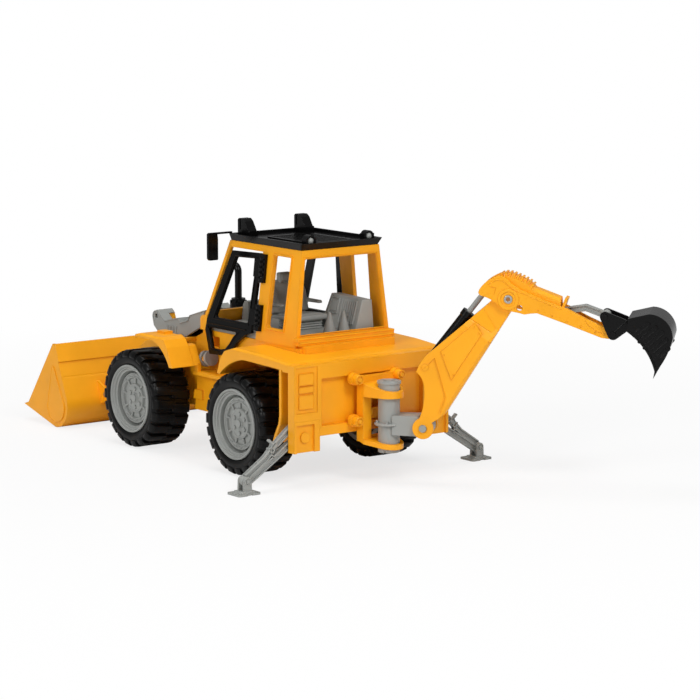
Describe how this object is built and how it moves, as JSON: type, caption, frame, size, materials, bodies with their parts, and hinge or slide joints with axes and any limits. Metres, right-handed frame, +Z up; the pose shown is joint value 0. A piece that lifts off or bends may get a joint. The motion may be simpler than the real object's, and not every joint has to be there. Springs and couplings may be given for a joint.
{
  "type": "toy backhoe loader",
  "caption": "Toy backhoe loader with open cab, front loader bucket, side-shift digging arm, folding stabiliser legs and lugged tyres.",
  "frame": {"origin": "on the floor under the middle of the rear axle, in the machine's middle plane", "axes": "+X runs forward to the loader bucket, +Y to the machine's left, +Z up"},
  "size_m": [0.652, 0.3176, 0.2154],
  "materials": {
    "yellow_plastic": "satin moulded",
    "grey_plastic": "satin moulded",
    "black_plastic": "satin moulded",
    "tyre_rubber": "matt",
    "pin_steel": "plain"
  },
  "bodies": {
    "machine": {"chassis": "yellow_plastic", "engine_block": "black_plastic", "front_grille": "black_plastic", "front_axle": "pin_steel", "rear_axle": "pin_steel", "body_shell": "yellow_plastic", "front_fender_left": "yellow_plastic", "front_fender_right": "yellow_plastic", "rear_frame": "yellow_plastic", "stabiliser_box_left": "yellow_plastic", "stabiliser_box_right": "yellow_plastic", "cab_frame": "yellow_plastic", "cab_floor": "grey_plastic", "dash": "grey_plastic", "roof": "black_plastic", "lamp_lenses": "grey_plastic", "work_lights": "black_plastic", "mirror": "black_plastic", "door_hinges": "black_plastic", "seat": "grey_plastic", "side_console": "grey_plastic", "lever_boots": "grey_plastic", "hood_pin": "pin_steel"},
    "hood": {"hood": "grey_plastic", "exhaust_stack": "black_plastic"},
    "door_left": {"door_left": "black_plastic"},
    "door_right": {"door_right": "black_plastic"},
    "loader_arms": {"loader_arms": "yellow_plastic", "loader_pins": "pin_steel"},
    "loader_bucket": {"loader_bucket": "yellow_plastic"},
    "carriage": {"carriage": "yellow_plastic", "clamp_knobs": "yellow_plastic"},
    "kingpost": {"kingpost": "grey_plastic", "boom_base_pin": "pin_steel"},
    "boom": {"boom": "yellow_plastic", "pivot_bushing": "pin_steel"},
    "dipper_barrel": {"dipper_barrel": "black_plastic"},
    "dipper_rod": {"dipper_rod": "grey_plastic"},
    "arm": {"arm": "yellow_plastic", "arm_crown": "yellow_plastic"},
    "digger_bucket": {"digger_bucket": "black_plastic", "bucket_pins": "black_plastic"},
    "bucket_link": {"bucket_link": "grey_plastic"},
    "wheel_front_left": {"tyre_front_left": "tyre_rubber", "rim_front_left": "grey_plastic"},
    "wheel_front_right": {"tyre_front_right": "tyre_rubber", "rim_front_right": "grey_plastic"},
    "wheel_rear_left": {"tyre_rear_left": "tyre_rubber", "rim_rear_left": "grey_plastic"},
    "wheel_rear_right": {"tyre_rear_right": "tyre_rubber", "rim_rear_right": "grey_plastic"},
    "lift_barrel_left": {"lift_barrel_left": "grey_plastic"},
    "lift_rod_left": {"lift_rod_left": "grey_plastic"},
    "lift_barrel_right": {"lift_barrel_right": "grey_plastic"},
    "lift_rod_right": {"lift_rod_right": "grey_plastic"},
    "stabiliser_leg_left": {"stabiliser_leg_left": "grey_plastic"},
    "stabiliser_pad_left": {"stabiliser_pad_left": "grey_plastic"},
    "stabiliser_leg_right": {"stabiliser_leg_right": "grey_plastic"},
    "stabiliser_pad_right": {"stabiliser_pad_right": "grey_plastic"}
  },
  "joints": [
    {"name": "wheel_front_left_spin", "type": "hinge", "parent": "machine", "child": "wheel_front_left", "pos_m": [0.165, 0.069, 0.045], "axis": [0, 1, 0], "continuous": true},
    {"name": "wheel_front_right_spin", "type": "hinge", "parent": "machine", "child": "wheel_front_right", "pos_m": [0.165, -0.069, 0.045], "axis": [0, 1, 0], "continuous": true},
    {"name": "wheel_rear_left_spin", "type": "hinge", "parent": "machine", "child": "wheel_rear_left", "pos_m": [0, 0.069, 0.045], "axis": [0, 1, 0], "continuous": true},
    {"name": "wheel_rear_right_spin", "type": "hinge", "parent": "machine", "child": "wheel_rear_right", "pos_m": [0, -0.069, 0.045], "axis": [0, 1, 0], "continuous": true},
    {"name": "hood_lift", "type": "hinge", "parent": "machine", "child": "hood", "pos_m": [0.1916, 0, 0.114], "axis": [0, 1, 0], "range_deg": [0, 50]},
    {"name": "door_left_swing", "type": "hinge", "parent": "machine", "child": "door_left", "pos_m": [0.017, 0.05207, 0.12624], "axis": [0, -0.1134, 0.9936], "range_deg": [0, 70]},
    {"name": "door_right_swing", "type": "hinge", "parent": "machine", "child": "door_right", "pos_m": [0.017, -0.05207, 0.12624], "axis": [0, -0.1134, -0.9936], "range_deg": [0, 70]},
    {"name": "loader_lift", "type": "hinge", "parent": "machine", "child": "loader_arms", "pos_m": [0.15, 0, 0.094], "axis": [0, -1, 0], "range_deg": [0, 40]},
    {"name": "bucket_tip", "type": "hinge", "parent": "loader_arms", "child": "loader_bucket", "pos_m": [0.2655, 0, 0.031], "axis": [0, -1, 0], "range_deg": [-40, 35]},
    {"name": "lift_ram_left_tilt", "type": "hinge", "parent": "machine", "child": "lift_barrel_left", "pos_m": [0.101, 0.0444, 0.086], "axis": [0, -1, 0], "range_deg": [-1, 5]},
    {"name": "lift_ram_left_reach", "type": "slide", "parent": "lift_barrel_left", "child": "lift_rod_left", "axis": [0.9822, 0, -0.1881], "range_m": [-0.001, 0.0125]},
    {"name": "lift_ram_right_tilt", "type": "hinge", "parent": "machine", "child": "lift_barrel_right", "pos_m": [0.101, -0.0444, 0.086], "axis": [0, -1, 0], "range_deg": [-1, 5]},
    {"name": "lift_ram_right_reach", "type": "slide", "parent": "lift_barrel_right", "child": "lift_rod_right", "axis": [0.9822, 0, -0.1881], "range_m": [-0.001, 0.0125]},
    {"name": "side_shift", "type": "slide", "parent": "machine", "child": "carriage", "axis": [0, 1, 0], "range_m": [-0.028, 0.028]},
    {"name": "swing", "type": "hinge", "parent": "carriage", "child": "kingpost", "pos_m": [-0.105, 0, 0.06], "axis": [0, 0, 1], "range_deg": [-117, 33]},
    {"name": "boom_lift", "type": "hinge", "parent": "kingpost", "child": "boom", "pos_m": [-0.12826, -0.02094, 0.0501], "axis": [-0.6691, 0.7431, 0], "range_deg": [-30, 20]},
    {"name": "arm_lift", "type": "hinge", "parent": "boom", "child": "arm", "pos_m": [-0.18154, -0.06892, 0.1623], "axis": [-0.6691, 0.7431, 0], "range_deg": [-35, 15]},
    {"name": "dipper_ram_tilt", "type": "hinge", "parent": "boom", "child": "dipper_barrel", "pos_m": [-0.1296, -0.02215, 0.1028], "axis": [-0.6691, 0.7431, 0], "range_deg": [-1, 2.2]},
    {"name": "dipper_ram_reach", "type": "slide", "parent": "dipper_barrel", "child": "dipper_rod", "axis": [-0.45, -0.4052, 0.7959], "range_m": [-0.006, 0.0135]},
    {"name": "bucket_curl", "type": "hinge", "parent": "arm", "child": "digger_bucket", "pos_m": [-0.24687, -0.12774, 0.1349], "axis": [-0.6691, 0.7431, 0], "range_deg": [-40, 10]},
    {"name": "link_turn", "type": "hinge", "parent": "digger_bucket", "child": "bucket_link", "pos_m": [-0.24166, -0.12305, 0.1495], "axis": [-0.6691, 0.7431, 0], "range_deg": [-13, 49]},
    {"name": "stabiliser_left_fold", "type": "hinge", "parent": "machine", "child": "stabiliser_leg_left", "pos_m": [-0.071, 0.062, 0.052], "axis": [1, 0, 0], "range_deg": [0, 70]},
    {"name": "stabiliser_left_foot", "type": "hinge", "parent": "stabiliser_leg_left", "child": "stabiliser_pad_left", "pos_m": [-0.071, 0.127, 0.0115], "axis": [1, 0, 0], "range_deg": [-30, 30]},
    {"name": "stabiliser_right_fold", "type": "hinge", "parent": "machine", "child": "stabiliser_leg_right", "pos_m": [-0.071, -0.062, 0.052], "axis": [-1, 0, 0], "range_deg": [0, 70]},
    {"name": "stabiliser_right_foot", "type": "hinge", "parent": "stabiliser_leg_right", "child": "stabiliser_pad_right", "pos_m": [-0.071, -0.127, 0.0115], "axis": [-1, 0, 0], "range_deg": [-30, 30]}
  ],
  "couplings": [
    {"joint": "lift_ram_left_tilt", "follows": "loader_lift", "ratio": 0.1049},
    {"joint": "lift_ram_left_reach", "follows": "loader_lift", "m_per_rad": 0.015986},
    {"joint": "lift_ram_right_tilt", "follows": "loader_lift", "ratio": 0.1049},
    {"joint": "lift_ram_right_reach", "follows": "loader_lift", "m_per_rad": 0.015986},
    {"joint": "dipper_ram_tilt", "follows": "arm_lift", "ratio": -0.0524},
    {"joint": "dipper_ram_reach", "follows": "arm_lift", "m_per_rad": -0.020357},
    {"joint": "link_turn", "follows": "bucket_curl", "ratio": -1.2}
  ]
}
